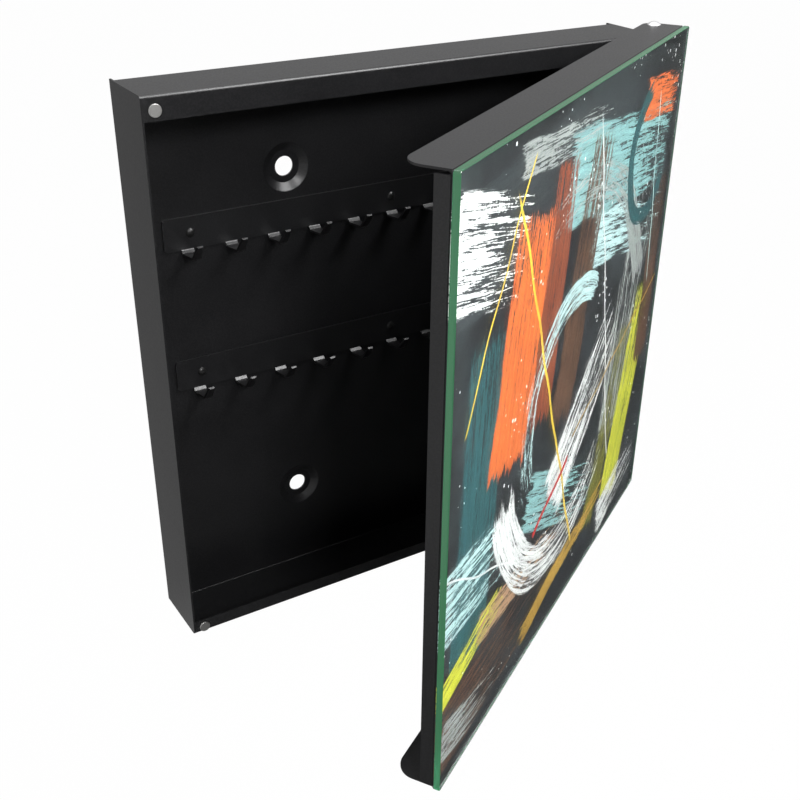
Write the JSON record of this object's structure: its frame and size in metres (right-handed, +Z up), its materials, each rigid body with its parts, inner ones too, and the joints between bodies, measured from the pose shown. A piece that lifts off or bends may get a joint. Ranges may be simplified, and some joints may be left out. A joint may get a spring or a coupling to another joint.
{
  "type": "magnetic key box",
  "caption": "Wall-hung steel key box: hook strips inside, and a glass-fronted door that swings on a side hinge and is held shut by disc magnets.",
  "frame": {"origin": "middle of the pattern of four wall holes, on the wall plane that the box hangs against", "axes": "+X to the right seen from the front, +Y into the wall, +Z up; the hinge is on the right"},
  "size_m": [0.3267, 0.2067, 0.3076],
  "materials": {
    "case_coat": "fine-texture black powder coat",
    "door_coat": "fine-texture black powder coat",
    "strip_coat": "fine-texture black powder coat",
    "strip_rivet": "black coated rivets",
    "hinge_rivet": "bright plated",
    "hinge_washer": "black nylon",
    "magnet": "grey nickel plate",
    "glass": "clear float glass with ground edges",
    "print": "colour print behind the glass",
    "tape": "double-sided mounting tape"
  },
  "bodies": {
    "case": {"case_shell": "case_coat", "left_side_panel": "case_coat", "right_side_panel": "case_coat", "upper_hook_strip": "strip_coat", "lower_hook_strip": "strip_coat", "upper_strip_rivets": "strip_rivet", "lower_strip_rivets": "strip_rivet", "upper_magnet": "magnet", "lower_magnet": "magnet", "upper_hinge_rivet": "hinge_rivet", "lower_hinge_rivet": "hinge_rivet", "upper_hinge_washer": "hinge_washer", "lower_hinge_washer": "hinge_washer"},
    "door": {"door_tray": "door_coat", "glass_tape": "tape", "print_layer": "print", "glass_panel": "glass"}
  },
  "joints": [
    {"name": "door_hinge", "type": "hinge", "parent": "case", "child": "door", "pos_m": [0.1625, -0.0254, 0], "axis": [0, 0, 1], "range_deg": [-31.66, 148.34]}
  ]
}
